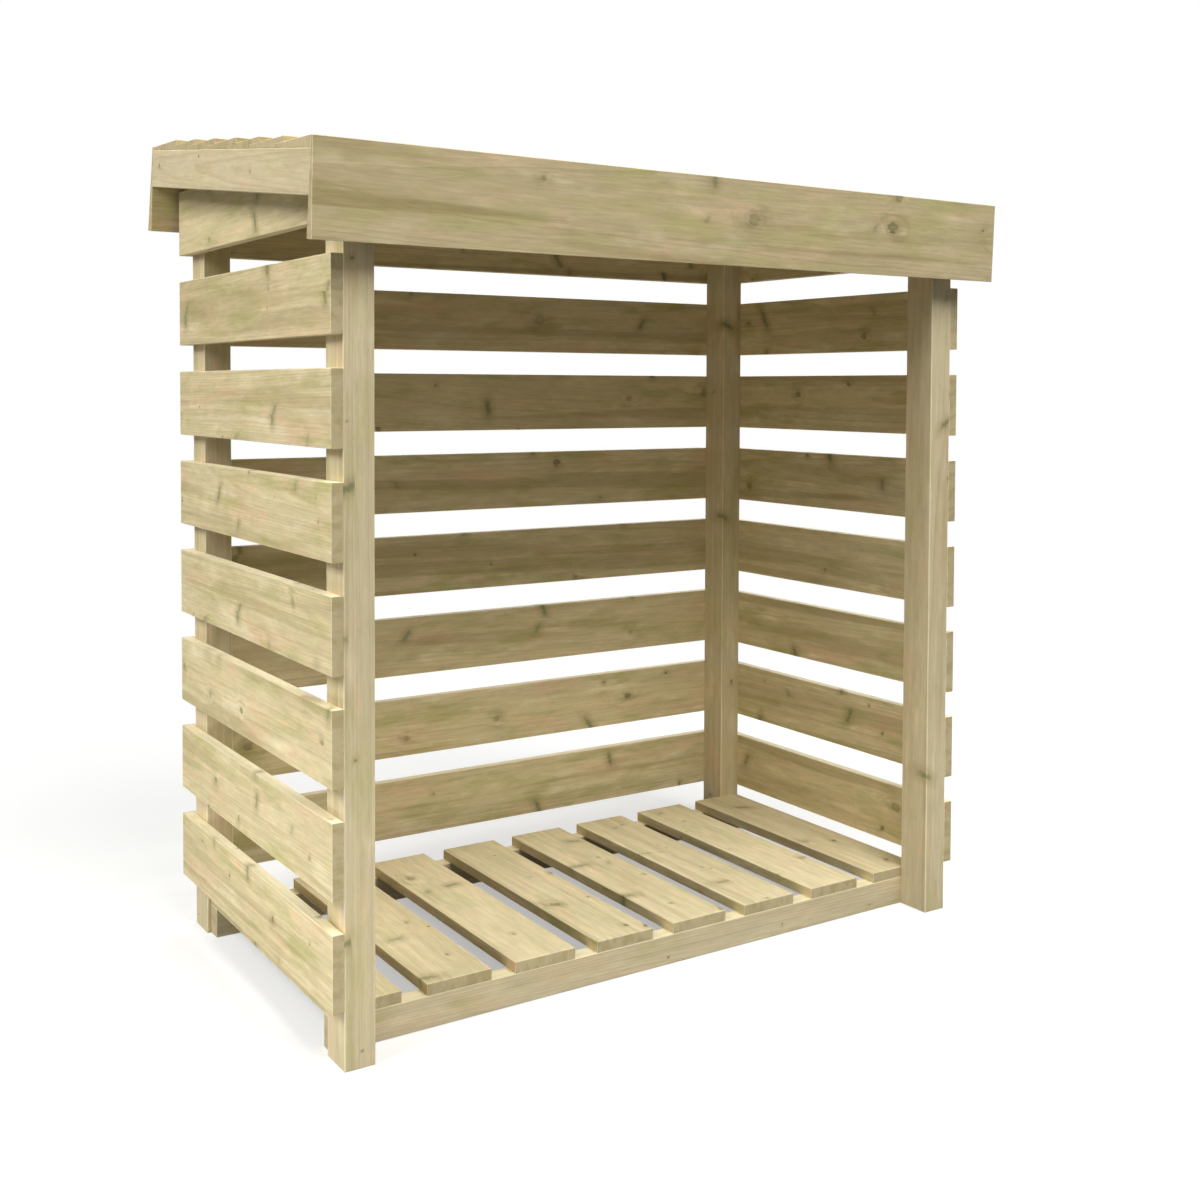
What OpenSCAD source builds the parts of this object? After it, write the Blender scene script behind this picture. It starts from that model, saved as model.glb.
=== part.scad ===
// Open-fronted log store of softwood, in millimetres.
// +X is the store's right side, +Y its back and +Z up. The origin is on the ground,
// at the middle of the whole store's outline.

/* [Walls] */
// Width of the store over its side slats
store_w = 1086; // [800:1:1500]
// Depth of the side walls, from the front of the posts to the back of the back boards
store_d = 608; // [420:1:900]
// Number of slat rows in each wall
slat_rows = 8; // [5:1:9]
// Height of one wall slat
slat_w = 99; // [60:1:120]
// Thickness of the wall slats
slat_t = 16; // [10:0.5:25]
// Height from one slat row to the next
slat_pitch = 140; // [125:1:180]
// Height of the lowest slats above the ground
slat_base = 76; // [40:1:150]

/* [Posts] */
// Width of a corner post, across the store
post_w = 42; // [30:1:70]
// Depth of a corner post, front to back
post_d = 55; // [35:1:80]

/* [Floor] */
// Thickness of the two floor bearers, front to back
bearer_t = 26; // [18:1:50]
// Height of the floor bearers, which stand on the ground
bearer_h = 44; // [30:1:90]
// Number of floor slats
floor_count = 8; // [5:1:8]
// Width of one floor slat
floor_slat_w = 98; // [60:1:120]
// Thickness of the floor slats
floor_slat_t = 16; // [10:0.5:25]
// Clearance between each side wall and the floor panel
floor_clear = 6; // [2:0.5:12]

/* [Roof] */
// Slope of the roof, down towards the front, in degrees
roof_slope = 7.5; // [4:0.5:12]
// How far the roof line cuts into the top side slats at the front posts
top_slat_cut = 17.5; // [5:0.5:30]
// How far the rails' top edge runs out in front of the posts
roof_front = 35; // [25:1:80]
// How far the rails' top edge runs out behind the back boards
roof_back = 2; // [0:0.5:40]
// Thickness of the two roof side rails
rail_t = 39; // [25:1:60]
// Height of the roof side rails, square to the slope
rail_h = 56; // [40:1:80]
// Number of roof boards
roof_boards = 7; // [7:1:9]
// Width of one feather-edge roof board
board_w = 122; // [115:1:160]
// Thickness of a feather-edge board at its thick edge
board_butt = 15; // [12:0.5:20]
// Thickness of a feather-edge board at its thin edge
board_edge = 4.5; // [3:0.5:6]

/* [Fascias] */
// Height of the front fascia, square to the slope
front_fascia_h = 122; // [90:1:150]
// Height of the back fascia, square to the slope
back_fascia_h = 130; // [90:1:160]

/* [Hidden] */

SAWN = "#d2c49a";   // posts, rails and bearers
PLANED = "#dccb9f"; // wall and floor slats
FEATHER = "#c8b88c"; // roof boards and fascias

// Walls, measured from the middle of the store
half_w = store_w / 2;
post_x = half_w - slat_t - post_w;                   // inner face of the right posts
top_row = slat_base + (slat_rows - 1) * slat_pitch;  // lower edge of the top slats
front_post_h = top_row + slat_w - top_slat_cut;      // roof line at the posts' front face

// Roof, measured along the slope from the rails' top front corner
roof_run = (roof_front + store_d + roof_back) / cos(roof_slope);
exposure = (roof_run - board_w) / (roof_boards - 1); // visible width of a roof board
lap = board_w - exposure;                            // what the next board covers
taper = (board_butt - board_edge) / board_w;         // thickness lost per millimetre
roof_half_w = half_w + rail_t;
front_fascia_top = board_butt;
back_fascia_top = board_edge + 1;

// The outline's foremost point is the front fascia's top corner and its rearmost the
// back fascia's bottom corner. These are their distances from the posts' front face.
outline_front = roof_front + board_edge * cos(roof_slope) + front_fascia_top * sin(roof_slope);
outline_back = (roof_run + board_butt) * cos(roof_slope) - roof_front
    + (back_fascia_h - back_fascia_top) * sin(roof_slope);

// Places from front to back
front_y = (outline_front - outline_back) / 2;        // front face of the front posts
back_y = front_y + store_d;                          // back face of the back boards
rear_post_y = back_y - slat_t - post_d;              // front face of the rear posts
floor_y = front_y + post_d;                          // front end of the floor panel
floor_d = rear_post_y - floor_y;                     // depth of the floor panel
roof_y = front_y - roof_front;
roof_z = front_post_h - roof_front * tan(roof_slope);

// Floor panel, between the side slats
floor_half_w = half_w - slat_t - floor_clear;
floor_pitch = (2 * floor_half_w - floor_slat_w) / (floor_count - 1);

// Places its children in the roof's frame: X across, Y up the slope, Z square to it
module on_roof()
    translate([0, roof_y, roof_z]) rotate([roof_slope, 0, 0]) children();

// Cuts its child off along the underside of the roof boards
module below_roof() {
    reach = 2 * (store_d + roof_z);
    intersection() {
        children();
        on_roof() translate([-reach / 2, -reach / 2, -reach]) cube([reach, 2 * reach, reach]);
    }
}

// A board that runs across the roof, from its end profile [up the slope, square to it]
module across_roof(profile)
    on_roof() translate([-roof_half_w, 0, 0])
        rotate([90, 0, 90]) linear_extrude(2 * roof_half_w) polygon(profile);

// One corner post on the left (side -1) or right (side 1), its front face at y
module post(side, y)
    color(SAWN) below_roof()
        translate([side > 0 ? post_x : -post_x - post_w, y, 0])
            cube([post_w, post_d, front_post_h + store_d]);

// One slat of a side wall, row 1 lowest. The top one is cut to the roof line.
module side_slat(side, row) {
    x = side > 0 ? half_w - slat_t : -half_w;
    z = slat_base + (row - 1) * slat_pitch;
    color(PLANED) below_roof()
        translate([x, front_y, z]) cube([slat_t, store_d, slat_w]);
}

// One board of the back wall, between the side walls and behind the rear posts
module back_board(row)
    color(PLANED)
        translate([slat_t - half_w, back_y - slat_t, slat_base + (row - 1) * slat_pitch])
            cube([store_w - 2 * slat_t, slat_t, slat_w]);

// One floor bearer, its front face at y
module floor_bearer(y)
    color(SAWN)
        translate([-floor_half_w, y, 0]) cube([2 * floor_half_w, bearer_t, bearer_h]);

// The row of floor slats, on top of both bearers and flush with their outer faces
module floor_slats()
    color(PLANED)
        for (i = [0:floor_count - 1])
            translate([-floor_half_w + i * floor_pitch, floor_y, bearer_h])
                cube([floor_slat_w, floor_d, floor_slat_t]);

// One roof side rail, against the outside of the side slats
module roof_rail(side)
    color(SAWN) on_roof()
        translate([side > 0 ? half_w : -half_w - rail_t, 0, -rail_h])
            cube([rail_t, roof_run, rail_h]);

// One feather-edge roof board, thick edge down the slope. The lowest lies flat. Each
// of the others has a rebate under its thick edge that fits over the board below.
module roof_board(i) {
    start = (i - 1) * exposure;
    underside = i == 1 ? [[0, 0]]
        : [[0, board_butt - taper * exposure], [lap, board_edge], [lap, 0]];
    profile = concat(underside, [[board_w, 0], [board_w, board_edge], [0, board_butt]]);
    color(FEATHER) across_roof([for (p = profile) [start + p[0], p[1]]]);
}

// Front fascia: a feather-edge board across the rails' front ends, thin edge up
module fascia_front() {
    low = front_fascia_top - front_fascia_h;
    color(FEATHER) across_roof([[0, low], [0, front_fascia_top],
        [-board_edge, front_fascia_top], [-board_butt, low]]);
}

// Back fascia: the same board across the rails' back ends
module fascia_back() {
    low = back_fascia_top - back_fascia_h;
    color(FEATHER) across_roof([[roof_run, low], [roof_run + board_butt, low],
        [roof_run + board_edge, back_fascia_top], [roof_run, back_fascia_top]]);
}

post(-1, front_y);  // post_front_left
post(1, front_y);  // post_front_right
post(-1, rear_post_y);  // post_rear_left
post(1, rear_post_y);  // post_rear_right
for (i = [1:slat_rows]) {
    side_slat(-1, i);
    side_slat(1, i);
    back_board(i);
}
floor_bearer(floor_y);  // floor_bearer_front
floor_bearer(rear_post_y - bearer_t);  // floor_bearer_rear
floor_slats();
roof_rail(-1);  // roof_rail_left
roof_rail(1);  // roof_rail_right
for (i = [1:roof_boards])
    roof_board(i);
fascia_front();
fascia_back();
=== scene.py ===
"""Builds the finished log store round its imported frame, from eased softwood boards."""

import math
import random

import bmesh
import bpy
from bpy.props import FloatProperty, FloatVectorProperty, IntProperty, PointerProperty
from mathutils import Matrix, Vector


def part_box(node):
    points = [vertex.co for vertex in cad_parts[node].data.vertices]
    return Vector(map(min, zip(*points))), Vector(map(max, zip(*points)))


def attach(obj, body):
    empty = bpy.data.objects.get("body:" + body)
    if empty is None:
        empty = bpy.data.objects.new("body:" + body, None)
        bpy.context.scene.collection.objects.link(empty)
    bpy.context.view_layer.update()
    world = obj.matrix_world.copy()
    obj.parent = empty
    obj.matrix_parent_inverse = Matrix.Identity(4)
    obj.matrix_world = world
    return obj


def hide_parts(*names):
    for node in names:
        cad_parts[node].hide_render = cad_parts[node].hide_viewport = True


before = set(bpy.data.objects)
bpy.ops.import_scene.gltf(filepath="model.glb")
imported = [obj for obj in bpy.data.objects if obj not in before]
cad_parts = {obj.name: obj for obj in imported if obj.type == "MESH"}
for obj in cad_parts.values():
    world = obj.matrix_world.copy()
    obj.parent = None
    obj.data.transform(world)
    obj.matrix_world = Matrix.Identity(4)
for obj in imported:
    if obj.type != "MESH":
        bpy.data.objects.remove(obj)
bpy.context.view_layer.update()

bl_info = {
    "name": "Log Store",
    "version": (1, 0, 0),
    "blender": (4, 5, 0),
    "location": "View3D > Sidebar > Log Store",
    "description": "Builds an open-fronted log store of treated softwood, piece by piece",
    "category": "Object",
}

BODY = "root"

# The record's material slots
FRAMING = "framing"
WALL_SLAT = "wall_slat"
FEATHER_EDGE = "feather_edge"

# Directions in the store
ACROSS = Vector((1, 0, 0))
BACKWARD = Vector((0, 1, 0))
UP = Vector((0, 0, 1))

# A face lies square to an axis when its normal's share of that axis is above this. The first is
# for sawn ends, the second for a board's sides and the third for the upper side
SAWN_SQUARE = 0.95
SIDE_SQUARE = 0.985
UPPER_SQUARE = 0.9

# How pale the eased arrises (wear and a painted highlight), the upper edges (a painted highlight)
# and the floor slats' tops (wear and painted light) are
ARRIS_WEAR_AND_HIGHLIGHT = 0.55
UPPER_EDGE_HIGHLIGHT = 1.0
FLOOR_WEAR_AND_LIGHT = 0.4

SLAT_ROWS = 8
FLOOR_SLATS = 8
ROOF_BOARDS = 7

# The camera: its place, its turn to the right, tip down and roll in degrees, and its lens
CAMERA_PLACE = (-1.2180, -1.9240, 0.8517)
CAMERA_TURN = 32.80
CAMERA_TIP = 2.0
CAMERA_ROLL = 0.20
CAMERA_LENS = 42.70
CAMERA_SHIFT = (0.0103, -0.1354)

# The floor is a disc just below the feet. Where it is seen it glows a little, and it fades to
# white between the near and the far distance from the middle, to run into the background
FLOOR_RADIUS = 14
FLOOR_LEVEL = -0.0005
FLOOR_GLOW = 0.42
FLOOR_NEAR = 1.0
FLOOR_FAR = 2.6

# Where the lamps hang, how wide they are, and the point that they face
LAMP_AIM = Vector((0, 0, 0.55))
KEY_PLACE = (0.3, -2.7, 4.35)
KEY_WIDTH = 2.8
SIDE_PLACE = (-3.3, -0.5, 3.1)
SIDE_WIDTH = 2.2
REAR_PLACE = (2.6, 2.6, 2.2)
REAR_WIDTH = 2.4

# Two long lamps lie near the floor, one along the left wall and one along the front, and face
# a little upwards
LOW_SIDE_PLACE = (-1.0, -0.35, 0.1)
LOW_FRONT_PLACE = (0.0, -0.65, 0.1)
LOW_LENGTH = 1.6
LOW_WIDTH = 0.2
LOW_TILT = 15


# ---------------------------------------------------------------------------
# Sizes, colours and stage settings


def wood_colour(name, description, red, green, blue):
    """A colour property, from the colour as it looks on screen (0 to 255)."""
    def linear(value):
        value /= 255
        return value / 12.92 if value <= 0.04045 else ((value + 0.055) / 1.055) ** 2.4

    return FloatVectorProperty(name=name, description=description, subtype="COLOR", size=3,
                               min=0, max=1, default=[linear(v) for v in (red, green, blue)])


class LogStoreSizes(bpy.types.PropertyGroup):
    """Sizes of the finishing work. The boards' own sizes come from the frame."""

    slat_arris: FloatProperty(
        name="Slat arris", description="Radius of the rounded long edges of the slats",
        default=0.0012, min=0.0005, max=0.005, subtype="DISTANCE", unit="LENGTH")
    post_arris: FloatProperty(
        name="Post arris", description="Radius of the rounded long edges of posts, rails and bearers",
        default=0.0015, min=0.0005, max=0.005, subtype="DISTANCE", unit="LENGTH")
    feather_arris: FloatProperty(
        name="Feather-edge arris", description="Radius of the long edges of the feather-edge boards",
        default=0.0009, min=0.0003, max=0.0015, subtype="DISTANCE", unit="LENGTH")
    sawn_arris: FloatProperty(
        name="Sawn end", description="Width of the worn edge round a board's sawn ends",
        default=0.0005, min=0.0002, max=0.0012, subtype="DISTANCE", unit="LENGTH")
    floor_slat_trim: FloatProperty(
        name="Floor slat trim", description="How much narrower a floor slat is than a wall slat",
        default=0.001, min=0, max=0.01, subtype="DISTANCE", unit="LENGTH")
    roof_slope: FloatProperty(
        name="Roof slope", description="Slope of the roof, down towards the front",
        default=math.radians(7.5), min=0, max=math.radians(15), subtype="ANGLE", unit="ROTATION")
    rail_height: FloatProperty(
        name="Rail height", description="Height of the roof rails, square to the slope",
        default=0.056, min=0.04, max=0.08, subtype="DISTANCE", unit="LENGTH")
    board_width: FloatProperty(
        name="Roof board width", description="Width of a feather-edge roof board",
        default=0.122, min=0.1, max=0.16, subtype="DISTANCE", unit="LENGTH")
    board_butt: FloatProperty(
        name="Thick edge", description="Thickness of a feather-edge board at its thick edge",
        default=0.015, min=0.01, max=0.02, subtype="DISTANCE", unit="LENGTH")
    board_edge: FloatProperty(
        name="Thin edge", description="Thickness of a feather-edge board at its thin edge",
        default=0.0045, min=0.003, max=0.006, subtype="DISTANCE", unit="LENGTH")
    front_fascia: FloatProperty(
        name="Front fascia", description="Height of the front fascia, square to the slope",
        default=0.122, min=0.09, max=0.15, subtype="DISTANCE", unit="LENGTH")
    back_fascia: FloatProperty(
        name="Back fascia", description="Height of the back fascia, square to the slope",
        default=0.130, min=0.09, max=0.16, subtype="DISTANCE", unit="LENGTH")
    back_fascia_rise: FloatProperty(
        name="Back fascia rise",
        description="How far the back fascia stands above the top board's thin edge",
        default=0.001, min=0, max=0.005, subtype="DISTANCE", unit="LENGTH")
    arris_steps: IntProperty(
        name="Arris steps", description="Faces round each eased edge", default=3, min=1, max=6)


class LogStoreFinish(bpy.types.PropertyGroup):
    """Colours of the treated softwood."""

    sapwood: wood_colour("Sapwood", "Main colour of the planed slats", 219, 203, 158)
    framing: wood_colour("Framing", "Main colour of posts, rails and bearers", 213, 198, 160)
    feather: wood_colour("Feather-edge", "Main colour of the feather-edge boards", 199, 182, 140)
    late_wood: wood_colour("Late wood", "Darker line at the end of each growth ring", 186, 160, 112)
    olive: wood_colour("Olive stain", "Where the treatment has soaked in most", 187, 181, 119)
    pink: wood_colour("Pink wood", "Where the bare wood shows through the treatment", 228, 196, 157)
    pale: wood_colour("Pale wood", "Palest patches", 242, 228, 188)
    brown: wood_colour("Brown bands", "Wide bands of darker rings", 164, 146, 98)
    knot: wood_colour("Knot", "Heart of a knot", 134, 126, 82)
    knot_rim: wood_colour("Knot rim", "Dark green rim of a knot", 80, 95, 68)
    spike: wood_colour("Spike knot", "Long knots that cross the grain", 108, 122, 86)
    end_grain: wood_colour("End grain", "Sawn ends", 184, 168, 130)
    # Pale colour for wear and painted light: worn arrises with a painted highlight, upper edges as a
    # painted highlight, floor slats' tops as wear and painted light
    wear_and_painted_light: wood_colour("Worn and lit wood", "Where arrises, upper edges and the floor have worn", 246, 234, 194)


class LogStoreStage(bpy.types.PropertyGroup):
    """Floor, lamps and background."""

    floor: wood_colour("Floor", "Pale studio floor, as it is seen", 206, 206, 204)
    floor_bounce: wood_colour("Floor bounce", "Colour of the light the floor throws back", 88, 90, 90)
    key_power: FloatProperty(
        name="Key lamp", description="Power of the large lamp high in front, in watts",
        default=192.0, min=0, max=2000, unit="POWER")
    side_power: FloatProperty(
        name="Side lamp", description="Power of the large lamp on the left, in watts",
        default=124.0, min=0, max=2000, unit="POWER")
    rear_power: FloatProperty(
        name="Rear lamp", description="Power of the large lamp behind, on the right, in watts",
        default=73.0, min=0, max=2000, unit="POWER")
    low_side_power: FloatProperty(
        name="Low side lamp", description="Power of the long lamp near the floor on the left, in watts",
        default=2.4, min=0, max=200, unit="POWER")
    low_front_power: FloatProperty(
        name="Low front lamp", description="Power of the long lamp near the floor in front, in watts",
        default=1.0, min=0, max=200, unit="POWER")
    sky: FloatProperty(
        name="Sky light", description="Strength of the even light from all round",
        default=0.15, min=0, max=2)


def sizes():
    return bpy.context.scene.log_store_sizes


def finish():
    return bpy.context.scene.log_store_finish


def stage():
    return bpy.context.scene.log_store_stage


# ---------------------------------------------------------------------------
# Modelling by hand


def pick(piece, kind, test):
    """In edit mode, selects only the corners, edges or faces that pass the test."""
    bpy.ops.mesh.select_mode(type=kind)
    shape = bmesh.from_edit_mesh(piece.data)
    shape.normal_update()
    for item in (*shape.verts, *shape.edges, *shape.faces):
        item.select = False
    chosen = {"VERT": shape.verts, "EDGE": shape.edges, "FACE": shape.faces}[kind]
    found = [item for item in chosen if test(item)]
    for item in found:
        item.select_set(True)
    shape.select_flush_mode()
    bmesh.update_edit_mesh(piece.data)
    return len(found)


def start_block(name, low, high):
    """Adds a block between two corners, and leaves it in edit mode."""
    bpy.ops.object.select_all(action="DESELECT")
    bpy.ops.mesh.primitive_cube_add(size=1, location=(low + high) / 2, scale=high - low)
    bpy.ops.object.transform_apply(location=True, rotation=True, scale=True)
    piece = bpy.context.object
    piece.name = piece.data.name = name
    bpy.ops.object.mode_set(mode="EDIT")
    return piece


def start_outline(name, points, left, right):
    """Draws a closed outline [(y, z), ...], fills it, pulls it out from left to right along X,
    and leaves it in edit mode."""
    bpy.ops.object.select_all(action="DESELECT")
    bpy.ops.mesh.primitive_plane_add(size=1, location=(0, 0, 0))
    piece = bpy.context.object
    piece.name = piece.data.name = name
    corners = [Vector((left, y, z)) for y, z in points]
    bpy.ops.object.mode_set(mode="EDIT")
    pick(piece, "VERT", lambda v: v.index > 0)
    bpy.ops.mesh.delete(type="VERT")
    pick(piece, "VERT", lambda v: True)
    start = bmesh.from_edit_mesh(piece.data).verts[:][0].co.copy()
    bpy.ops.transform.translate(value=corners[0] - start)
    for here, there in zip(corners, corners[1:]):
        bpy.ops.mesh.extrude_vertices_move(TRANSFORM_OT_translate={"value": there - here})
    bpy.ops.mesh.select_all(action="SELECT")
    bpy.ops.mesh.edge_face_add()
    bpy.ops.mesh.select_all(action="SELECT")
    bpy.ops.mesh.extrude_region_move(TRANSFORM_OT_translate={"value": (right - left, 0, 0)})
    bpy.ops.mesh.select_all(action="SELECT")
    bpy.ops.mesh.normals_make_consistent(inside=False)
    return piece


def ease_edges(piece, along, radius):
    """Rounds the edges that run along the board, then takes the sharpness off its sawn ends."""
    along = along.normalized()
    least_turn = math.radians(30)  # between the faces of an edge that stands out

    def is_long(edge):
        run = (edge.verts[1].co - edge.verts[0].co).normalized()
        return abs(run.dot(along)) > 0.98 and edge.calc_face_angle_signed(0.0) > least_turn

    def is_end(edge):
        ends = [abs(f.normal.dot(along)) > SAWN_SQUARE for f in edge.link_faces]
        return len(ends) == 2 and ends[0] != ends[1]

    if not pick(piece, "EDGE", is_long):
        raise RuntimeError(f"{piece.name} has no long edges to ease")
    bpy.ops.mesh.bevel(offset_type="OFFSET", offset=radius, segments=sizes().arris_steps,
                       profile=0.5, affect="EDGES", clamp_overlap=True)
    if not pick(piece, "EDGE", is_end):
        raise RuntimeError(f"{piece.name} has no sawn ends")
    bpy.ops.mesh.bevel(offset_type="OFFSET", offset=sizes().sawn_arris, segments=1,
                       profile=0.5, affect="EDGES", clamp_overlap=True)


def complete(piece):
    """Leaves edit mode and sets the shading: rounded edges smooth, faces flat."""
    bpy.ops.mesh.select_all(action="SELECT")
    bpy.ops.mesh.remove_doubles(threshold=0.00001)
    bpy.ops.object.mode_set(mode="OBJECT")
    bpy.ops.object.shade_smooth_by_angle(angle=math.radians(40))
    bpy.ops.object.modifier_add(type="WEIGHTED_NORMAL")
    weighted = piece.modifiers[-1]
    weighted.keep_sharp = True
    bpy.ops.object.modifier_apply(modifier=weighted.name)
    return piece


def select_only(piece):
    bpy.ops.object.select_all(action="DESELECT")
    piece.select_set(True)
    bpy.context.view_layer.objects.active = piece


def move_piece(piece, shift, lean=0.0):
    """Tips a finished piece back by an angle and moves it, with its place kept in its mesh."""
    select_only(piece)
    piece.rotation_euler = (lean, 0, 0)
    piece.location = shift
    bpy.ops.object.transform_apply(location=True, rotation=True, scale=True)


def copy_piece(master, name, shift):
    """Copies a finished piece to another place, with a mesh of its own."""
    select_only(master)
    bpy.ops.object.duplicate(linked=False)
    piece = bpy.context.object
    if piece.data == master.data:
        raise RuntimeError(f"{name} shares its mesh with {master.name}")
    piece.name = piece.data.name = name
    move_piece(piece, shift)
    return piece


def tilt_to_roof(piece):
    """Turns a piece that was modelled flat to the roof's slope, and moves it up to the roof."""
    move_piece(piece, roof_corner(), lean=sizes().roof_slope)
    return piece


def roof_corner():
    """The middle of the rails' top front edge, where the roof boards start."""
    low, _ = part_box("roof_rail_left")
    return Vector((0, low.y, low.z + sizes().rail_height * math.cos(sizes().roof_slope)))


def roof_run():
    """Length of the rails, up the slope."""
    low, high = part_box("roof_rail_left")
    slope = sizes().roof_slope
    return (high.y - low.y - sizes().rail_height * math.sin(slope)) / math.cos(slope)


def up_slope():
    return Vector((0, math.cos(sizes().roof_slope), math.sin(sizes().roof_slope)))


def off_slope():
    return Vector((0, -math.sin(sizes().roof_slope), math.cos(sizes().roof_slope)))


def cut_to_roof(piece):
    """In edit mode, cuts a piece off along the underside of the roof boards."""
    bpy.ops.mesh.select_all(action="SELECT")
    bpy.ops.mesh.bisect(plane_co=roof_corner(), plane_no=off_slope(),
                        use_fill=True, clear_outer=True, clear_inner=False)


# ---------------------------------------------------------------------------
# How each board lay in its log


def lay_in_log(piece, along, flat, top_wear_and_light=0.0):
    """Writes where every point of a board lay in the log it was sawn from: metres along the log,
    and its place across the log from the pith. Also marks sawn ends, how pale the eased arrises
    (wear and a painted highlight), the upper edges (a painted highlight) and an upper side
    (wear and painted light) are, and the board's own tone."""
    draw = random.Random(piece.name)
    along, flat = along.normalized(), flat.normalized()
    wide = along.cross(flat)
    points = [v.co.copy() for v in piece.data.vertices]
    middle = sum(points, Vector()) / len(points)
    start = draw.uniform(1, 30)
    # One board in three is sawn from near the pith
    depth = draw.choice((draw.uniform(0.014, 0.03), draw.uniform(0.03, 0.10), draw.uniform(0.03, 0.10)))
    aside = draw.uniform(-0.035, 0.035)
    flip = draw.choice((-1, 1))
    lean_in = draw.uniform(-0.022, 0.022)
    lean_aside = draw.uniform(-0.012, 0.012)
    tone = draw.uniform(0, 1)

    grain = piece.data.attributes.new("grain", "FLOAT_VECTOR", "POINT")
    for place, point in zip(grain.data, points):
        step = point - middle
        run = step.dot(along)
        place.vector = (start + run,
                        aside + step.dot(wide) + lean_aside * run,
                        depth + flip * step.dot(flat) + lean_in * run)

    cut = piece.data.attributes.new("cut", "FLOAT_VECTOR", "CORNER")
    for face in piece.data.polygons:
        end = abs(face.normal.dot(along)) > SAWN_SQUARE
        upper = face.normal.z > UPPER_SQUARE
        if abs(face.normal.dot(wide)) > SIDE_SQUARE:
            # An upper edge gets a painted highlight, as where light from above falls on it
            wear_and_painted_light = UPPER_EDGE_HIGHLIGHT if upper else 0.0
        elif abs(face.normal.dot(flat)) > SIDE_SQUARE:
            # An upper wide side is paler: wear and painted light, as on the floor slats
            wear_and_painted_light = top_wear_and_light if upper else 0.0
        else:
            # An eased arris is paler: wear and a painted highlight
            wear_and_painted_light = 0.0 if end else ARRIS_WEAR_AND_HIGHLIGHT
        marks = (float(end), wear_and_painted_light, tone)
        for corner in face.loop_indices:
            cut.data[corner].vector = marks


# ---------------------------------------------------------------------------
# Shader building


class Wiring:
    """Adds and joins the nodes of one node tree."""

    def __init__(self, tree):
        self.tree = tree
        self.column = 0

    def add(self, kind, **settings):
        node = self.tree.nodes.new(kind)
        self.column += 1
        node.location = (170 * (self.column % 14), -220 * (self.column // 14))
        for name, value in settings.items():
            setattr(node, name, value)
        return node

    def feed(self, socket, value):
        if isinstance(value, bpy.types.NodeSocket):
            self.tree.links.new(value, socket)
        else:
            socket.default_value = value

    def math(self, operation, *values, clamp=False):
        node = self.add("ShaderNodeMath", operation=operation, use_clamp=clamp)
        for socket, value in zip(node.inputs, values):
            self.feed(socket, value)
        return node.outputs[0]

    def vector(self, operation, *values):
        node = self.add("ShaderNodeVectorMath", operation=operation)
        for socket, value in zip(node.inputs, values):
            self.feed(socket, value)
        return node.outputs["Value" if operation == "LENGTH" else "Vector"]

    def split(self, value):
        node = self.add("ShaderNodeSeparateXYZ")
        self.feed(node.inputs[0], value)
        return node.outputs

    def join(self, *values):
        node = self.add("ShaderNodeCombineXYZ")
        for socket, value in zip(node.inputs, values):
            self.feed(socket, value)
        return node.outputs[0]

    def fade(self, value, low, high, start=0.0, end=1.0):
        """Smooth step: start where the value is low, end where it is high."""
        node = self.add("ShaderNodeMapRange", interpolation_type="SMOOTHSTEP", clamp=True)
        for name, given in (("Value", value), ("From Min", low), ("From Max", high),
                            ("To Min", start), ("To Max", end)):
            self.feed(node.inputs[name], given)
        return node.outputs["Result"]

    def noise(self, place, stretch, detail=2.0, roughness=0.5, shift=0.0, warp=0.0):
        """Noise on a stretched and shifted copy of a place; stretch is features per metre."""
        moved = self.vector("MULTIPLY_ADD", place, stretch, (shift, shift * 0.7, shift * 1.3))
        node = self.add("ShaderNodeTexNoise", noise_dimensions="3D")
        self.feed(node.inputs["Vector"], moved)
        node.inputs["Scale"].default_value = 1.0
        node.inputs["Detail"].default_value = detail
        node.inputs["Roughness"].default_value = roughness
        node.inputs["Distortion"].default_value = warp
        return node.outputs["Fac"]

    def blend(self, below, above, amount):
        node = self.add("ShaderNodeMix", data_type="RGBA", blend_type="MIX", clamp_factor=True)
        self.feed(node.inputs["Factor"], amount)
        colours = [s for s in node.inputs if s.type == "RGBA"]
        self.feed(colours[0], below)
        self.feed(colours[1], above)
        return next(s for s in node.outputs if s.type == "RGBA")

    def group(self, tree, **values):
        """Places a node group; its inputs are given with _ for a space."""
        node = self.add("ShaderNodeGroup", node_tree=tree)
        for name, value in values.items():
            self.feed(node.inputs[name.replace("_", " ").title()], value)
        return node.outputs


def new_group(name, inputs, outputs):
    """An empty node group. Inputs are (name, socket kind, default); outputs are names of values."""
    tree = bpy.data.node_groups.new(name, "ShaderNodeTree")
    for label, kind, default in inputs:
        socket = tree.interface.new_socket(name=label, in_out="INPUT", socket_type=kind)
        if default is not None:
            socket.default_value = default
    for label in outputs:
        tree.interface.new_socket(name=label, in_out="OUTPUT", socket_type="NodeSocketFloat")
    wiring = Wiring(tree)
    return tree, wiring, wiring.add("NodeGroupInput").outputs, wiring.add("NodeGroupOutput").inputs


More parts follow.
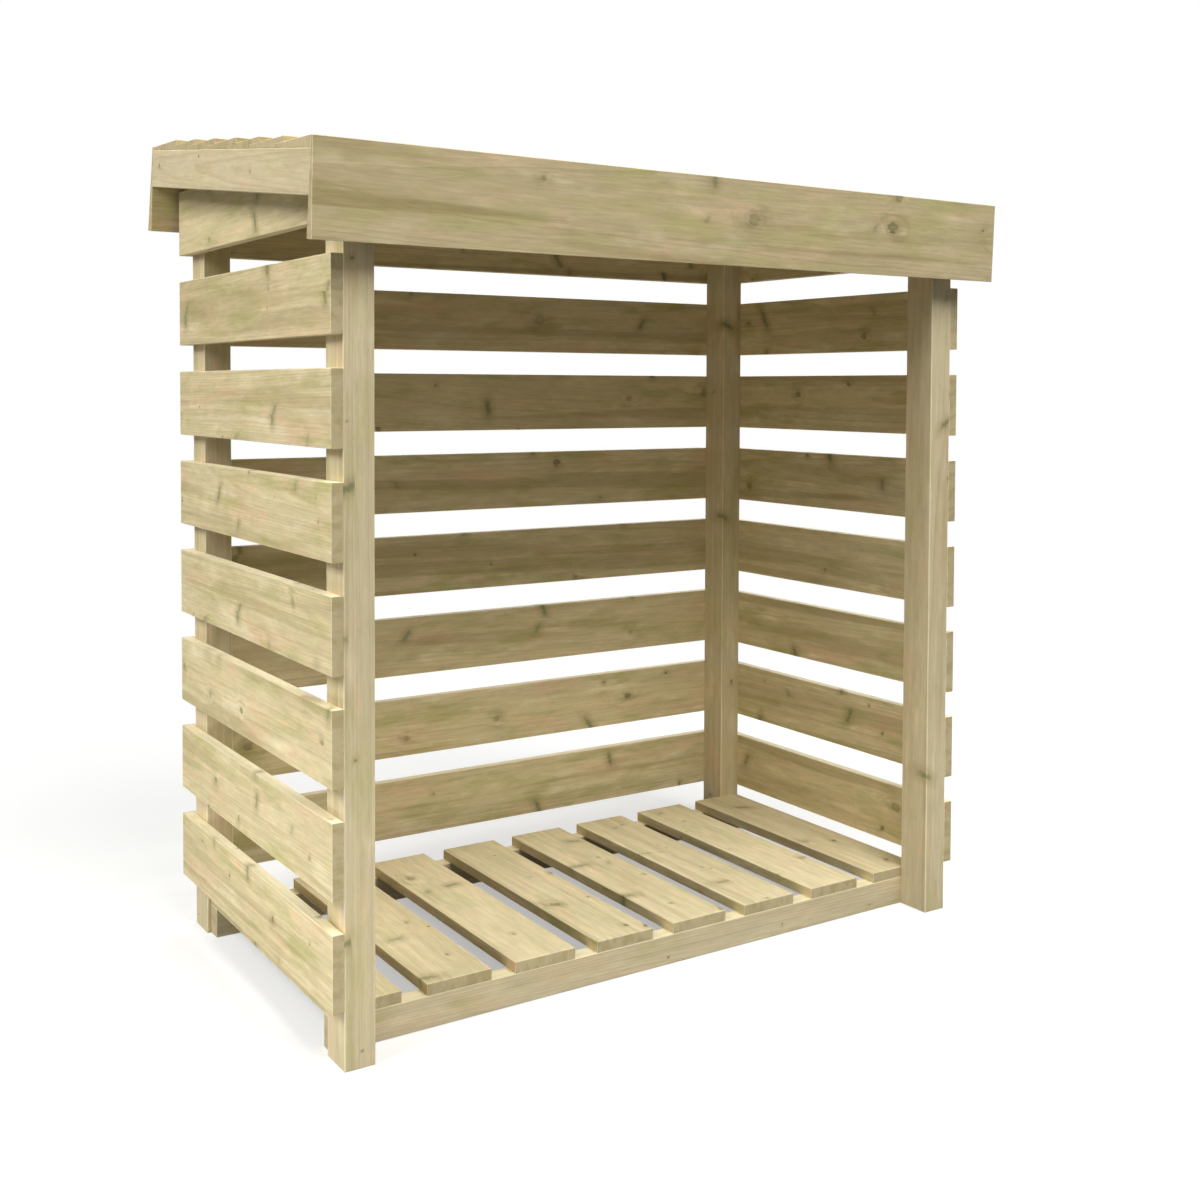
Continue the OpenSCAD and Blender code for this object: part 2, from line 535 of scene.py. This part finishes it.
def knots_group():
    """Branches that run out from the pith: round knots on flat faces, long ones on edges. Where a
    branch is missing there may be a short dark spike across the grain instead."""
    tree, w, given, made = new_group(
        "Knots",
        [("Grain", "NodeSocketVector", None), ("Knot Spacing", "NodeSocketFloat", 0.2),
         ("Knot Size", "NodeSocketFloat", 0.09), ("Knot Share", "NodeSocketFloat", 0.5)],
        ["Heart", "Rim", "Halo", "Stain", "Push", "Ripple", "Spike", "Spike Stain"])
    along, aside, depth = w.split(given["Grain"])
    from_pith = w.vector("LENGTH", w.join(0.0, aside, depth))
    angle = w.math("ARCTAN2", aside, depth)
    sector = 0.85  # radians between branches, about
    rise = 0.3  # how far a branch climbs for each metre that it runs out
    smallest, largest = 0.0012, 0.0080  # radius of a knot
    spike_lots = 0.80  # places whose lot is over this have a spike
    climb = w.math("SUBTRACT", along, w.math("MULTIPLY", from_pith, rise))
    cells = w.add("ShaderNodeTexVoronoi", voronoi_dimensions="2D", feature="F1")
    w.feed(cells.inputs["Vector"],
           w.join(w.math("DIVIDE", climb, given["Knot Spacing"]), w.math("DIVIDE", angle, sector), 0.0))
    cells.inputs["Scale"].default_value = 1.0
    cells.inputs["Randomness"].default_value = 0.95
    centre = w.split(cells.outputs["Position"])
    lot = w.add("ShaderNodeSeparateColor")
    w.feed(lot.inputs[0], cells.outputs["Color"])
    run = w.math("SUBTRACT", climb, w.math("MULTIPLY", centre[0], given["Knot Spacing"]))
    arc = w.math("MULTIPLY", from_pith,
                 w.math("SUBTRACT", angle, w.math("MULTIPLY", centre[1], sector)))

    spread = w.math("MULTIPLY", lot.outputs[1], lot.outputs[1])
    size = w.math("MULTIPLY", w.math("MULTIPLY", from_pith, given["Knot Size"]),
                  w.math("MULTIPLY_ADD", spread, 0.9, 0.3))
    size = w.math("MAXIMUM", w.math("MINIMUM", size, largest), smallest)
    is_knot = w.math("LESS_THAN", lot.outputs[0], given["Knot Share"])
    size = w.math("MAXIMUM", w.math("MULTIPLY", size, is_knot), 0.00001)
    uneven = w.math("SUBTRACT", w.noise(given["Grain"], (120, 210, 210), detail=2.0, shift=3.0), 0.5)
    reach = w.vector("LENGTH", w.join(w.math("MULTIPLY", run, 0.8), arc, 0.0))
    reach = w.math("MULTIPLY_ADD", uneven, w.math("MULTIPLY", size, 1.3), reach)
    ratio = w.math("DIVIDE", reach, size)
    strength = w.math("MULTIPLY_ADD", lot.outputs[2], 0.65, 0.35)
    heart = w.math("MULTIPLY", w.fade(ratio, 0.65, 1.1, 1.0, 0.0), strength)
    w.feed(made["Heart"], heart)
    broken = w.fade(w.noise(given["Grain"], (90, 170, 170), detail=1.0, shift=6.0), 0.36, 0.58, 0.25, 1.0)
    rim = w.fade(w.math("ABSOLUTE", w.math("SUBTRACT", ratio, 0.9)), 0.0, 0.42, 1.0, 0.0)
    w.feed(made["Rim"], w.math("MULTIPLY", w.math("MULTIPLY", rim, broken), strength))
    w.feed(made["Halo"], w.math("MULTIPLY", w.fade(ratio, 1.0, 2.4, 1.0, 0.0), strength))
    patchy = w.fade(w.noise(given["Grain"], (20, 48, 48), detail=2.0, shift=9.0), 0.42, 0.62)
    w.feed(made["Stain"], w.math("MULTIPLY", w.fade(ratio, 1.0, 6.0, 1.0, 0.0), patchy))
    w.feed(made["Push"], w.math("MULTIPLY", w.fade(ratio, 0.3, 5.0, 1.3, 0.0), size))
    own_ring = 0.0013  # width of a knot's own rings
    ripple = w.math("SINE", w.math("MULTIPLY", reach, 2 * math.pi / own_ring))
    w.feed(made["Ripple"], w.math("MULTIPLY", ripple, heart))

    lean = w.math("MULTIPLY_ADD", lot.outputs[1], 1.6, -0.8)
    side = w.math("SUBTRACT", run, w.math("MULTIPLY", arc, lean))
    side = w.math("ABSOLUTE", w.math("MULTIPLY_ADD", uneven, 0.010, side))
    tip = w.math("MULTIPLY_ADD", lot.outputs[2], 0.011, 0.006)
    length = w.math("ABSOLUTE", w.math("MULTIPLY_ADD", uneven, 0.010, arc))
    is_spike = w.math("MULTIPLY", w.math("GREATER_THAN", lot.outputs[0], spike_lots), strength)
    core = w.math("MULTIPLY", w.fade(side, 0.0008, 0.0070, 1.0, 0.0),
                  w.fade(w.math("DIVIDE", length, tip), 0.35, 1.1, 1.0, 0.0))
    cloud = w.math("MULTIPLY", w.fade(side, 0.002, 0.022, 1.0, 0.0),
                   w.fade(w.math("DIVIDE", length, tip), 0.5, 2.2, 1.0, 0.0))
    w.feed(made["Spike"], w.math("MULTIPLY", core, is_spike))
    w.feed(made["Spike Stain"], w.math("MULTIPLY", cloud, is_spike))
    return tree


def rings_group():
    """Growth rings round the pith, pushed aside by knots, and wider bands of darker rings."""
    tree, w, given, made = new_group(
        "Growth rings",
        [("Grain", "NodeSocketVector", None), ("Push", "NodeSocketFloat", 0.0),
         ("Ring Width", "NodeSocketFloat", 0.0042), ("Waviness", "NodeSocketFloat", 0.006)],
        ["Late Wood", "Band", "Brown Band"])
    _, aside, depth = w.split(given["Grain"])
    from_pith = w.vector("LENGTH", w.join(0.0, aside, depth))
    slow = w.math("SUBTRACT", w.noise(given["Grain"], (1.5, 6, 6), detail=2.0, shift=1.0), 0.5)
    quick = w.math("SUBTRACT", w.noise(given["Grain"], (8, 45, 45), detail=2.0, shift=5.0), 0.5)
    place = w.math("SUBTRACT", from_pith, given["Push"])
    place = w.math("MULTIPLY_ADD", slow, w.math("MULTIPLY", given["Waviness"], 2.0), place)
    place = w.math("MULTIPLY_ADD", quick, 0.0028, place)
    spread = w.add("ShaderNodeTexNoise", noise_dimensions="1D")
    w.feed(spread.inputs["W"], w.math("MULTIPLY", place, 45.0))
    spread.inputs["Scale"].default_value = 1.0
    number = w.math("MULTIPLY_ADD", spread.outputs["Fac"], 2.2,
                    w.math("DIVIDE", place, given["Ring Width"]))
    part = w.math("FRACT", number)
    strength = w.add("ShaderNodeTexWhiteNoise", noise_dimensions="1D")
    w.feed(strength.inputs["W"], w.math("FLOOR", number))
    rise = w.fade(part, 0.3, 0.9)
    fall = w.fade(part, 0.91, 1.0, 1.0, 0.0)
    late = w.math("MULTIPLY", rise, fall)
    w.feed(made["Late Wood"],
           w.math("MULTIPLY", late, w.fade(strength.outputs["Value"], 0.0, 1.0, 0.2, 1.0)))
    w.feed(made["Band"], w.noise(w.join(place, 0.0, 0.0), (160, 0, 0), detail=1.0, shift=2.0))
    wide = w.noise(given["Grain"], (0.9, 24, 24), detail=4.0, roughness=0.5, shift=12.0, warp=0.5)
    w.feed(made["Brown Band"], w.fade(wide, 0.50, 0.62))
    return tree


def fibres_group():
    """Fine fibres and streaks that run along the log, and a mottle of small blotches."""
    tree, w, given, made = new_group(
        "Fibres", [("Grain", "NodeSocketVector", None)], ["Fine", "Streak", "Mottle"])
    w.feed(made["Fine"], w.noise(given["Grain"], (20, 330, 330), detail=4.0, roughness=0.7))
    w.feed(made["Streak"], w.noise(given["Grain"], (2.4, 150, 150), detail=3.0, roughness=0.6, shift=4.0))
    w.feed(made["Mottle"], w.noise(given["Grain"], (26, 95, 95), detail=4.0, roughness=0.62, shift=7.0))
    return tree


def treatment_group():
    """Cloudy patches left by the preservative, stretched along the log."""
    tree, w, given, made = new_group(
        "Treatment", [("Grain", "NodeSocketVector", None)], ["Olive", "Pink", "Pale"])
    for name, stretch, shift, low, high in (
            ("Olive", (6.5, 28, 28), 11.0, 0.48, 0.70),
            ("Pink", (6.5, 28, 28), 23.0, 0.49, 0.71),
            ("Pale", (8.5, 26, 26), 37.0, 0.50, 0.78)):
        cloud = w.noise(given["Grain"], stretch, detail=4.0, roughness=0.58, shift=shift, warp=0.3)
        w.feed(made[name], w.fade(cloud, low, high))
    return tree


def softwood(name, main_colour, *, knot_size, knot_spacing, knot_share, ring_width, waviness, late_amount,
             band_amount, stain_amount, pale_amount, contrast, groups):
    """A treated softwood: rings, knots, fibres and treatment over one main colour."""
    material = bpy.data.materials.new(name)
    material.use_nodes = True
    tree = material.node_tree
    tree.nodes.clear()
    w = Wiring(tree)
    colours = finish()

    def paint(colour):
        return (*colour, 1.0)

    grain = w.add("ShaderNodeAttribute", attribute_name="grain").outputs["Vector"]
    end, wear_and_painted_light, tone = w.split(w.add("ShaderNodeAttribute", attribute_name="cut").outputs["Vector"])
    knots = w.group(groups["knots"], grain=grain, knot_spacing=knot_spacing, knot_size=knot_size,
                    knot_share=knot_share)
    rings = w.group(groups["rings"], grain=grain, push=knots["Push"], ring_width=ring_width,
                    waviness=waviness)
    fibres = w.group(groups["fibres"], grain=grain)
    stain = w.group(groups["treatment"], grain=grain)

    late = rings["Late Wood"]
    late_seen = w.math("MULTIPLY_ADD", end, -0.22, late_amount)  # fainter on sawn ends
    weathered = w.fade(w.noise(grain, (2, 75, 40), detail=2.0, shift=15.0), 0.46, 0.64)
    tint = paint(main_colour)
    for above, mask, amount in (
            (colours.pink, stain["Pink"], stain_amount),
            (colours.olive, stain["Olive"], stain_amount),
            (colours.pale, stain["Pale"], pale_amount),
            (colours.brown, rings["Brown Band"], band_amount),
            (colours.late_wood, late, late_seen),
            # Wear and painted light: the pale colour on arrises, upper edges and the floor slats' tops
            (colours.wear_and_painted_light, wear_and_painted_light, 1.0),
            (colours.brown, knots["Halo"], 0.35),
            (colours.brown, knots["Stain"], 0.5),
            (colours.brown, knots["Spike Stain"], 0.6),
            (colours.knot, knots["Heart"], 0.85),
            (colours.knot_rim, knots["Rim"], 0.75),
            (colours.spike, knots["Spike"], 0.75),
            (colours.end_grain, end, 0.7),
            (colours.brown, w.math("MULTIPLY", weathered, end), 0.45)):
        tint = w.blend(tint, paint(above), w.math("MULTIPLY", mask, amount))
    light = 1.0
    for mask, amount in ((fibres["Fine"], 0.30), (fibres["Streak"], 0.12), (fibres["Mottle"], 0.20),
                         (rings["Band"], 0.14)):
        light = w.math("MULTIPLY_ADD", w.math("SUBTRACT", mask, 0.5), amount * contrast, light)
    fibres_seen = w.math("MULTIPLY_ADD", end, -0.65, 1.0)  # fainter on sawn ends
    light = w.math("MULTIPLY_ADD", w.math("SUBTRACT", light, 1.0), fibres_seen, 1.0)
    light = w.math("MULTIPLY_ADD", w.math("SUBTRACT", tone, 0.5), 0.09, light)
    light = w.math("MULTIPLY_ADD", knots["Ripple"], 0.10, light)
    colour = w.vector("SCALE", tint)
    w.feed(colour.node.inputs["Scale"], light)

    height = w.math("MULTIPLY_ADD", fibres["Fine"], 0.5, w.math("MULTIPLY", late, 0.6))
    height = w.math("MULTIPLY_ADD", knots["Heart"], 0.8, height)
    bump = w.add("ShaderNodeBump")
    bump.inputs["Strength"].default_value = 0.5
    bump.inputs["Distance"].default_value = 0.0004
    w.feed(bump.inputs["Height"], height)

    shader = w.add("ShaderNodeBsdfPrincipled")
    w.feed(shader.inputs["Base Color"], colour)
    w.feed(shader.inputs["Roughness"], w.fade(fibres["Streak"], 0.25, 0.75, 0.76, 0.64))
    w.feed(shader.inputs["Normal"], bump.outputs["Normal"])
    shader.inputs["Specular IOR Level"].default_value = 0.3
    w.feed(w.add("ShaderNodeOutputMaterial").inputs["Surface"], shader.outputs["BSDF"])
    return material


def wood_for(slot):
    """The material of one of the record's slots, made the first time it is asked for."""
    name = f"{slot}_softwood"
    if name in bpy.data.materials:
        return bpy.data.materials[name]
    groups = {
        "knots": bpy.data.node_groups.get("Knots") or knots_group(),
        "rings": bpy.data.node_groups.get("Growth rings") or rings_group(),
        "fibres": bpy.data.node_groups.get("Fibres") or fibres_group(),
        "treatment": bpy.data.node_groups.get("Treatment") or treatment_group(),
    }
    colours = finish()
    recipes = {
        FRAMING: dict(main_colour=colours.framing, knot_size=0.06, knot_spacing=0.20, knot_share=0.40,
                      ring_width=0.0030, waviness=0.003, late_amount=0.32, band_amount=0.25,
                      stain_amount=0.55, pale_amount=0.5, contrast=1.2),
        WALL_SLAT: dict(main_colour=colours.sapwood, knot_size=0.085, knot_spacing=0.14, knot_share=0.46,
                        ring_width=0.0036, waviness=0.008, late_amount=0.32, band_amount=0.45,
                        stain_amount=0.80, pale_amount=0.8, contrast=1.55),
        FEATHER_EDGE: dict(main_colour=colours.feather, knot_size=0.10, knot_spacing=0.17,
                           knot_share=0.45, ring_width=0.0040, waviness=0.012,
                           late_amount=0.34, band_amount=0.75,
                           stain_amount=0.70, pale_amount=0.35, contrast=1.6),
    }
    return softwood(name, groups=groups, **recipes[slot])


def dress(piece, node, slot, along, flat, top_wear_and_light=0.0):
    """Gives a finished piece its grain and wood, hangs it under the body, and hides the part of the frame
    that it stands for.
    """
    lay_in_log(piece, along, flat, top_wear_and_light)
    piece.data.materials.clear()
    piece.data.materials.append(wood_for(slot))
    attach(piece, BODY)
    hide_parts(node)


# ---------------------------------------------------------------------------
# The pieces


class LOGSTORE_OT_posts(bpy.types.Operator):
    """Builds the four corner posts, with their tops cut to the roof's slope"""

    bl_idname = "log_store.posts"
    bl_label = "Corner posts"

    def execute(self, context):
        for row in ("front", "rear"):
            left, right = f"post_{row}_left", f"post_{row}_right"
            low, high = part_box(left)
            spare = UP * 0.01  # stands above the roof line until the cut
            master = start_block(f"{left}_timber", low, high + spare)
            cut_to_roof(master)
            ease_edges(master, UP, sizes().post_arris)
            complete(master)
            other = copy_piece(master, f"{right}_timber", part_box(right)[0] - low)
            dress(master, left, FRAMING, UP, BACKWARD)
            dress(other, right, FRAMING, UP, BACKWARD)
        return {"FINISHED"}


class LOGSTORE_OT_side_slats(bpy.types.Operator):
    """Builds the slats of both side walls; the top ones are cut to the roof's slope"""

    bl_idname = "log_store.side_slats"
    bl_label = "Side slats"

    def execute(self, context):
        low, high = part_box("left_slat_1")
        plain = start_block("left_slat_1_timber", low, high)
        ease_edges(plain, BACKWARD, sizes().slat_arris)
        complete(plain)
        top_low, top_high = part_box(f"left_slat_{SLAT_ROWS}")
        top = start_block(f"left_slat_{SLAT_ROWS}_timber", top_low, top_high)
        cut_to_roof(top)
        ease_edges(top, BACKWARD, sizes().slat_arris)
        complete(top)
        slats = {"left_slat_1": plain, f"left_slat_{SLAT_ROWS}": top}
        for side in ("left", "right"):
            for row in range(1, SLAT_ROWS + 1):
                node = f"{side}_slat_{row}"
                master, start = (top, top_low) if row == SLAT_ROWS else (plain, low)
                if node not in slats:
                    slats[node] = copy_piece(master, f"{node}_timber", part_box(node)[0] - start)
        for node, slat in slats.items():
            dress(slat, node, WALL_SLAT, BACKWARD, ACROSS)
        return {"FINISHED"}


class LOGSTORE_OT_back_boards(bpy.types.Operator):
    """Builds the boards of the back wall"""

    bl_idname = "log_store.back_boards"
    bl_label = "Back boards"

    def execute(self, context):
        low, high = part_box("back_board_1")
        boards = [start_block("back_board_1_timber", low, high)]
        ease_edges(boards[0], ACROSS, sizes().slat_arris)
        complete(boards[0])
        for row in range(2, SLAT_ROWS + 1):
            node = f"back_board_{row}"
            boards.append(copy_piece(boards[0], f"{node}_timber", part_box(node)[0] - low))
        for row, board in enumerate(boards, 1):
            dress(board, f"back_board_{row}", WALL_SLAT, ACROSS, BACKWARD)
        return {"FINISHED"}


class LOGSTORE_OT_floor(bpy.types.Operator):
    """Builds the two floor bearers and the floor slats on top of them"""

    bl_idname = "log_store.floor"
    bl_label = "Floor"

    def execute(self, context):
        front, rear = "floor_bearer_front", "floor_bearer_rear"
        low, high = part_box(front)
        bearer = start_block(f"{front}_timber", low, high)
        ease_edges(bearer, ACROSS, sizes().post_arris)
        complete(bearer)
        other = copy_piece(bearer, f"{rear}_timber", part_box(rear)[0] - low)
        dress(bearer, front, FRAMING, ACROSS, BACKWARD)
        dress(other, rear, FRAMING, ACROSS, BACKWARD)

        low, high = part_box("floor_slats")
        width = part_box("left_slat_1")[1].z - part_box("left_slat_1")[0].z - sizes().floor_slat_trim
        pitch = (high.x - low.x - width) / (FLOOR_SLATS - 1)
        slats = [start_block("floor_slat_1_timber", low, Vector((low.x + width, high.y, high.z)))]
        ease_edges(slats[0], BACKWARD, sizes().slat_arris)
        complete(slats[0])
        for number in range(1, FLOOR_SLATS):
            slats.append(copy_piece(slats[0], f"floor_slat_{number + 1}_timber", ACROSS * pitch * number))
        for slat in slats:
            # Their tops are paler: wear and painted light
            dress(slat, "floor_slats", WALL_SLAT, BACKWARD, UP, top_wear_and_light=FLOOR_WEAR_AND_LIGHT)
        return {"FINISHED"}


class LOGSTORE_OT_roof_rails(bpy.types.Operator):
    """Builds the two rails that carry the roof boards, outside the side walls"""

    bl_idname = "log_store.roof_rails"
    bl_label = "Roof rails"

    def execute(self, context):
        low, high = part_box("roof_rail_left")
        rail = start_block("roof_rail_left_timber", Vector((low.x, 0, -sizes().rail_height)),
                           Vector((high.x, roof_run(), 0)))
        ease_edges(rail, BACKWARD, sizes().post_arris)
        complete(rail)
        tilt_to_roof(rail)
        shift = ACROSS * (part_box("roof_rail_right")[0].x - low.x)
        other = copy_piece(rail, "roof_rail_right_timber", shift)
        dress(rail, "roof_rail_left", FRAMING, up_slope(), ACROSS)
        dress(other, "roof_rail_right", FRAMING, up_slope(), ACROSS)
        return {"FINISHED"}


class LOGSTORE_OT_roof_boards(bpy.types.Operator):
    """Builds the lapped feather-edge roof boards"""

    bl_idname = "log_store.roof_boards"
    bl_label = "Roof boards"

    def execute(self, context):
        low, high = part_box("roof_board_1")
        first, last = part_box("roof_board_2")[0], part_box(f"roof_board_{ROOF_BOARDS}")[0]
        exposure = (last - first).length / (ROOF_BOARDS - 2)
        width, butt, edge = sizes().board_width, sizes().board_butt, sizes().board_edge
        lap = width - exposure
        under_butt = butt - (butt - edge) * exposure / width
        top = [(width, edge), (0, butt)]
        lowest = start_outline("roof_board_1_timber", [(0, 0), (width, 0), *top], low.x, high.x)
        ease_edges(lowest, ACROSS, sizes().feather_arris)
        tilt_to_roof(complete(lowest))
        lapped = start_outline(
            "roof_board_2_timber",
            [(0, under_butt), (lap, edge), (lap, 0), (width, 0), *top], low.x, high.x)
        ease_edges(lapped, ACROSS, sizes().feather_arris)
        tilt_to_roof(complete(lapped))
        move_piece(lapped, up_slope() * exposure)
        boards = [lowest, lapped]
        for number in range(2, ROOF_BOARDS):
            shift = up_slope() * exposure * (number - 1)
            boards.append(copy_piece(lapped, f"roof_board_{number + 1}_timber", shift))
        for number, board in enumerate(boards, 1):
            dress(board, f"roof_board_{number}", FEATHER_EDGE, ACROSS, off_slope())
        return {"FINISHED"}


class LOGSTORE_OT_fascias(bpy.types.Operator):
    """Builds the front and back fascias, feather-edge boards with their thin edge up"""

    bl_idname = "log_store.fascias"
    bl_label = "Fascias"

    def execute(self, context):
        low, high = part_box("fascia_front")
        butt, edge, height = sizes().board_butt, sizes().board_edge, sizes().front_fascia
        bottom, top = butt - height, butt
        front = start_outline("fascia_front_timber",
                              [(0, bottom), (0, top), (-edge, top), (-butt, bottom)], low.x, high.x)
        ease_edges(front, ACROSS, sizes().feather_arris)
        tilt_to_roof(complete(front))
        dress(front, "fascia_front", FEATHER_EDGE, ACROSS, up_slope())

        run = roof_run()
        top = edge + sizes().back_fascia_rise
        bottom = top - sizes().back_fascia
        back = start_outline("fascia_back_timber",
                             [(run, bottom), (run + butt, bottom), (run + edge, top), (run, top)],
                             low.x, high.x)
        ease_edges(back, ACROSS, sizes().feather_arris)
        tilt_to_roof(complete(back))
        dress(back, "fascia_back", FEATHER_EDGE, ACROSS, up_slope())
        return {"FINISHED"}


class LOGSTORE_OT_stage(bpy.types.Operator):
    """Adds the pale floor, the soft lamps, the background and the camera"""

    bl_idname = "log_store.stage"
    bl_label = "Stage"

    def execute(self, context):
        self.lay_floor()
        self.light_background()
        settings = stage()
        self.hang_lamp("key_lamp", KEY_PLACE, KEY_WIDTH, settings.key_power)
        self.hang_lamp("side_lamp", SIDE_PLACE, SIDE_WIDTH, settings.side_power)
        self.hang_lamp("rear_lamp", REAR_PLACE, REAR_WIDTH, settings.rear_power)
        self.lay_low_lamp("low_side_lamp", LOW_SIDE_PLACE, -90, settings.low_side_power)
        self.lay_low_lamp("low_front_lamp", LOW_FRONT_PLACE, 0, settings.low_front_power)
        self.place_camera()
        context.scene.view_settings.view_transform = "Standard"
        return {"FINISHED"}

    def lay_floor(self):
        bpy.ops.object.select_all(action="DESELECT")
        bpy.ops.mesh.primitive_circle_add(vertices=64, radius=FLOOR_RADIUS, fill_type="NGON",
                                          location=(0, 0, FLOOR_LEVEL))
        floor = bpy.context.object
        floor.name = floor.data.name = "studio_floor"
        material = bpy.data.materials.new("studio_floor")
        material.use_nodes = True
        material.node_tree.nodes.clear()
        w = Wiring(material.node_tree)
        seen = seen_directly(w)
        shader = w.add("ShaderNodeBsdfPrincipled")
        w.feed(shader.inputs["Base Color"],
               w.blend((*stage().floor_bounce, 1), (*stage().floor, 1), seen))
        shader.inputs["Roughness"].default_value = 0.9
        shader.inputs["Specular IOR Level"].default_value = 0.1
        glow = w.add("ShaderNodeEmission")
        w.feed(glow.inputs["Strength"], w.math("MULTIPLY", seen, FLOOR_GLOW))
        near = w.add("ShaderNodeAddShader")
        w.feed(near.inputs[0], shader.outputs[0])
        w.feed(near.inputs[1], glow.outputs[0])
        white = w.add("ShaderNodeEmission")
        place = w.add("ShaderNodeTexCoord").outputs["Object"]
        far = w.fade(w.vector("LENGTH", place), FLOOR_NEAR, FLOOR_FAR)
        floor_mix = w.add("ShaderNodeMixShader")
        w.feed(floor_mix.inputs["Fac"], w.math("MULTIPLY", far, seen))
        w.feed(floor_mix.inputs[1], near.outputs[0])
        w.feed(floor_mix.inputs[2], white.outputs[0])
        w.feed(w.add("ShaderNodeOutputMaterial").inputs["Surface"], floor_mix.outputs[0])
        floor.data.materials.append(material)

    def light_background(self):
        world = bpy.data.worlds.new("studio_light")
        bpy.context.scene.world = world
        world.use_nodes = True
        world.node_tree.nodes.clear()
        w = Wiring(world.node_tree)
        sky = w.add("ShaderNodeBackground")
        sky.inputs["Color"].default_value = (1, 1, 1, 1)
        strength = w.fade(seen_directly(w), 0.0, 1.0, stage().sky, 1.0)
        w.feed(sky.inputs["Strength"], strength)
        w.feed(w.add("ShaderNodeOutputWorld").inputs["Surface"], sky.outputs[0])

    def hang_lamp(self, name, place, width, power):
        bpy.ops.object.light_add(type="AREA", location=place)
        lamp = bpy.context.object
        lamp.name = lamp.data.name = name
        lamp.data.shape = "DISK"
        lamp.data.size = width
        lamp.data.energy = power
        lamp.visible_camera = False
        lamp.rotation_euler = (LAMP_AIM - lamp.location).to_track_quat("-Z", "Y").to_euler()

    def lay_low_lamp(self, name, place, turn, power):
        """Adds a long lamp near the floor. It faces backwards, or to the right with a turn of -90."""
        tilt = math.radians(90 + LOW_TILT)
        bpy.ops.object.light_add(type="AREA", location=place, rotation=(tilt, 0, math.radians(turn)))
        lamp = bpy.context.object
        lamp.name = lamp.data.name = name
        lamp.data.shape = "RECTANGLE"
        lamp.data.size, lamp.data.size_y = LOW_LENGTH, LOW_WIDTH
        lamp.data.energy = power
        lamp.visible_camera = False

    def place_camera(self):
        bpy.ops.object.camera_add(location=CAMERA_PLACE)
        camera = bpy.context.object
        camera.name = camera.data.name = "camera"
        turn = (Matrix.Rotation(math.radians(-CAMERA_TURN), 3, "Z")
                @ Matrix.Rotation(math.radians(90 - CAMERA_TIP), 3, "X")
                @ Matrix.Rotation(math.radians(CAMERA_ROLL), 3, "Z"))
        camera.rotation_euler = turn.to_euler()
        camera.data.sensor_width = 36
        camera.data.lens = CAMERA_LENS
        camera.data.shift_x, camera.data.shift_y = CAMERA_SHIFT
        camera.data.clip_start, camera.data.clip_end = 0.05, 60
        bpy.context.scene.camera = camera


def seen_directly(w):
    """1 for rays from the camera, or seen in or through something shiny or clear; otherwise 0."""
    path = w.add("ShaderNodeLightPath").outputs
    seen = w.math("ADD", path["Is Camera Ray"], path["Is Glossy Ray"])
    return w.math("ADD", seen, path["Is Transmission Ray"], clamp=True)


# ---------------------------------------------------------------------------
# Add-on


OPERATORS = (
    LOGSTORE_OT_posts,
    LOGSTORE_OT_side_slats,
    LOGSTORE_OT_back_boards,
    LOGSTORE_OT_floor,
    LOGSTORE_OT_roof_rails,
    LOGSTORE_OT_roof_boards,
    LOGSTORE_OT_fascias,
    LOGSTORE_OT_stage,
)


class LOGSTORE_PT_panel(bpy.types.Panel):
    """Lists the log store's pieces, sizes and colours"""

    bl_idname = "LOGSTORE_PT_panel"
    bl_label = "Log Store"
    bl_space_type = "VIEW_3D"
    bl_region_type = "UI"
    bl_category = "Log Store"

    def draw(self, context):
        layout = self.layout
        for operator in OPERATORS:
            layout.operator(operator.bl_idname)
        for title, settings in (("Sizes", sizes()), ("Finish", finish()), ("Stage", stage())):
            box = layout.box()
            box.label(text=title)
            for name in settings.__annotations__:
                box.prop(settings, name)


SETTINGS = {
    "log_store_sizes": LogStoreSizes,
    "log_store_finish": LogStoreFinish,
    "log_store_stage": LogStoreStage,
}


def register():
    for group in SETTINGS.values():
        bpy.utils.register_class(group)
    for name, group in SETTINGS.items():
        setattr(bpy.types.Scene, name, PointerProperty(type=group))
    for operator in OPERATORS:
        bpy.utils.register_class(operator)
    bpy.utils.register_class(LOGSTORE_PT_panel)


def unregister():
    bpy.utils.unregister_class(LOGSTORE_PT_panel)
    for operator in reversed(OPERATORS):
        bpy.utils.unregister_class(operator)
    for name in SETTINGS:
        delattr(bpy.types.Scene, name)
    for group in reversed(SETTINGS.values()):
        bpy.utils.unregister_class(group)


def main():
    register()
    bpy.ops.log_store.posts()
    bpy.ops.log_store.side_slats()
    bpy.ops.log_store.back_boards()
    bpy.ops.log_store.floor()
    bpy.ops.log_store.roof_rails()
    bpy.ops.log_store.roof_boards()
    bpy.ops.log_store.fascias()
    bpy.ops.log_store.stage()


if __name__ == "__main__":
    main()
